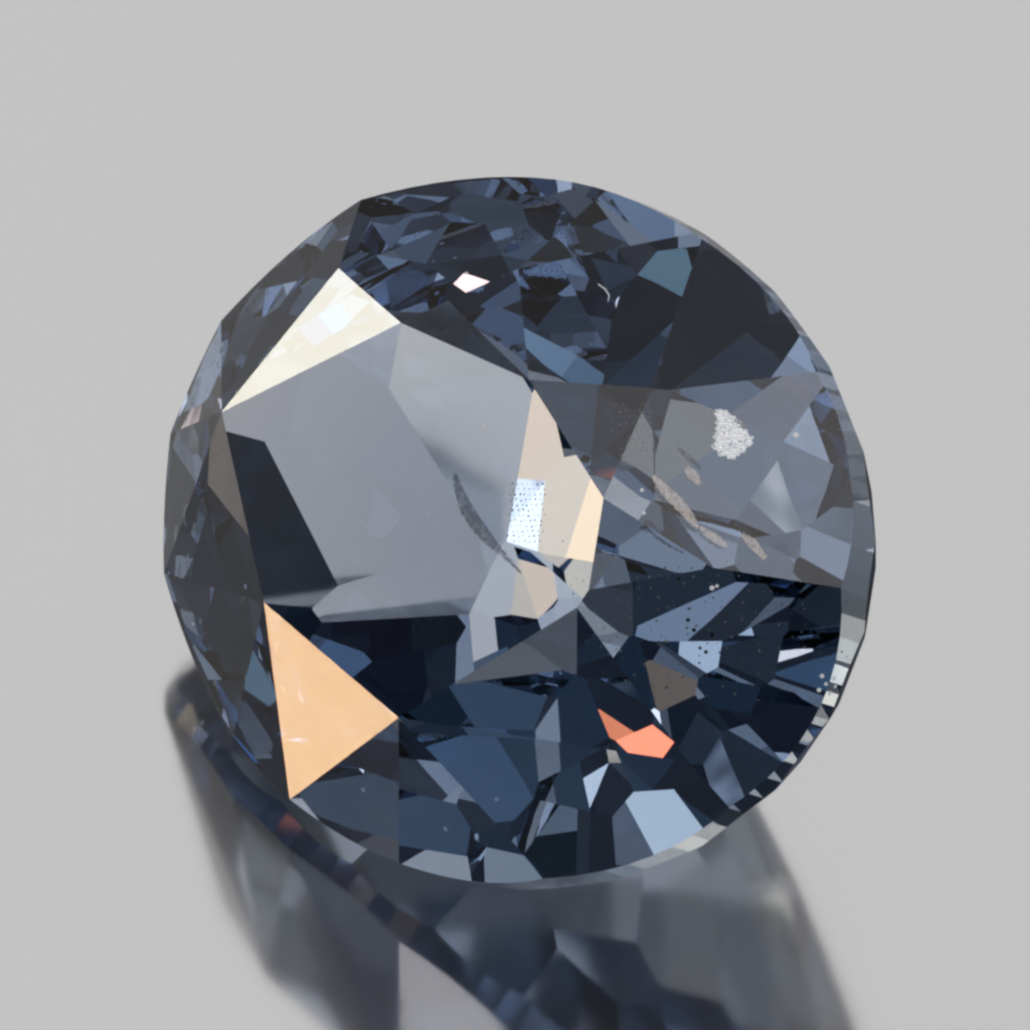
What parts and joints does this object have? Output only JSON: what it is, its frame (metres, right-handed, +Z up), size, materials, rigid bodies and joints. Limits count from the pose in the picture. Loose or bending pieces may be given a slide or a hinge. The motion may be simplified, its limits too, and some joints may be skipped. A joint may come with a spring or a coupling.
{
  "type": "faceted gemstone",
  "caption": "Loose oval cut spinel with a brilliant crown and a tiered pavilion, lying on a pavilion facet.",
  "frame": {"origin": "bottom centre of the stone's bounding box, on the surface that it rests on", "axes": "+Z up from the resting facet; the table leans towards -X and -Y, so it faces a viewer in front on the left"},
  "size_m": [0.006, 0.0062, 0.0047],
  "materials": {
    "spinel": "polished, transparent"
  },
  "bodies": {
    "root": {"spinel": "spinel"}
  },
  "joints": []
}
